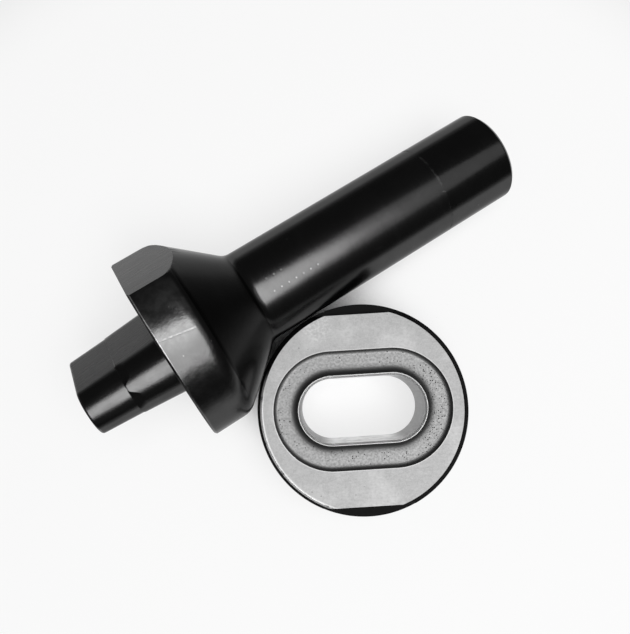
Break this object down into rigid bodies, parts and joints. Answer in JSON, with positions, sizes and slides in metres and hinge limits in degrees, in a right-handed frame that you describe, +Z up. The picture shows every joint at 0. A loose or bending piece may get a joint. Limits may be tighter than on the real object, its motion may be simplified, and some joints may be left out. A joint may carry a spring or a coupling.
{
  "type": "oval grommet die",
  "caption": "Two-piece setting tool for oval eyelets: a round steel die with an oval rolling groove and through-hole, and a black driver with shank, cone, flatted collar and tapered oval pilot.",
  "frame": {"origin": "centre of the die's underside, on the axis of its oval hole", "axes": "+Z up out of the die's grooved face, +X along the oval's long axis"},
  "size_m": [0.1528, 0.1352, 0.0651],
  "materials": {
    "ground_steel": "surface-ground face, dark heat-treated edges",
    "black_oxide_steel": "turned and milled, black oxide, lightly oiled"
  },
  "bodies": {
    "die": {"die": "ground_steel"},
    "driver": {"driver": "black_oxide_steel"}
  },
  "joints": [
    {"name": "driver_lift", "type": "slide", "parent": "die", "child": "driver", "axis": [0, 0, 1], "range_m": [0, 0.15]}
  ]
}
